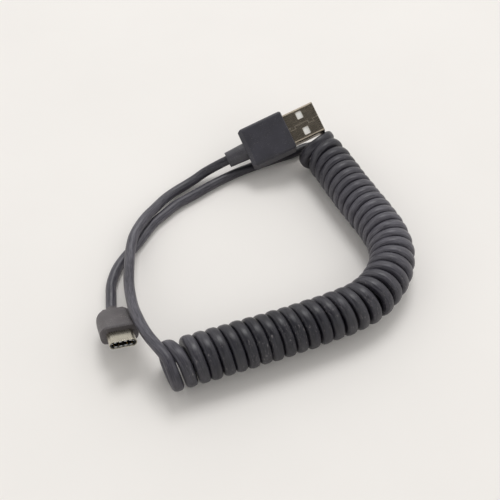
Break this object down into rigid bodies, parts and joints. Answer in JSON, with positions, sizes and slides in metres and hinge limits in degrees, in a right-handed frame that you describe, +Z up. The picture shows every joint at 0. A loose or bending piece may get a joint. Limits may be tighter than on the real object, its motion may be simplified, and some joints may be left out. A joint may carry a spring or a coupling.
{
  "type": "coiled usb-c charging cable",
  "caption": "Coiled charging cable lying on a table, its curly cord bent through a right angle, with a USB-A plug on one smooth lead and a USB-C plug on the other.",
  "frame": {"origin": "on the table, under the middle of the whole cable's outline as it lies", "axes": "+Z up from the table; +X to the right and +Y away from the viewer as the cable lies, with the first half of the coil running roughly along +X"},
  "size_m": [0.1036, 0.1119, 0.0217],
  "materials": {
    "cord_jacket": "satin black elastomer with fine scuffs",
    "plug_moulding": "fine matte moulded black",
    "strain_relief": "satin black elastomer",
    "small_plug_moulding": "satin moulded dark grey",
    "folded_steel": "bright nickel plate",
    "drawn_steel": "satin nickel plate",
    "spring_steel": "bright",
    "white_insulator": "white",
    "black_insulator": "black",
    "gold_contact": "gold plate",
    "inner_plastic": "natural",
    "board": "green solder mask",
    "resistor": "black",
    "wire_red": "red",
    "wire_black": "black",
    "wire_white": "white",
    "wire_green": "green"
  },
  "bodies": {
    "root": {"usb_a_overmould": "plug_moulding", "usb_a_strain_relief": "strain_relief", "usb_a_shell": "folded_steel", "usb_a_insulator": "white_insulator", "usb_a_contact_power": "gold_contact", "usb_a_contact_data_minus": "gold_contact", "usb_a_contact_data_plus": "gold_contact", "usb_a_contact_ground": "gold_contact", "usb_a_inner_moulding": "inner_plastic", "usb_a_wire_power": "wire_red", "usb_a_wire_data_minus": "wire_white", "usb_a_wire_data_plus": "wire_green", "usb_a_wire_ground": "wire_black", "lead_usb_a": "cord_jacket", "coil": "cord_jacket", "lead_usb_c": "cord_jacket", "usb_c_overmould": "small_plug_moulding", "usb_c_shell": "drawn_steel", "usb_c_housing": "black_insulator", "usb_c_latch": "spring_steel", "usb_c_spring_upper": "spring_steel", "usb_c_spring_lower": "spring_steel", "usb_c_contact_a1": "gold_contact", "usb_c_contact_a4": "gold_contact", "usb_c_contact_a5": "gold_contact", "usb_c_contact_a6": "gold_contact", "usb_c_contact_a7": "gold_contact", "usb_c_contact_a9": "gold_contact", "usb_c_contact_a12": "gold_contact", "usb_c_contact_b1": "gold_contact", "usb_c_contact_b4": "gold_contact", "usb_c_contact_b9": "gold_contact", "usb_c_contact_b12": "gold_contact", "usb_c_board": "board", "usb_c_resistor": "resistor", "usb_c_inner_moulding": "inner_plastic", "usb_c_wire_power": "wire_red", "usb_c_wire_data_minus": "wire_white", "usb_c_wire_data_plus": "wire_green", "usb_c_wire_ground": "wire_black"}
  },
  "joints": []
}
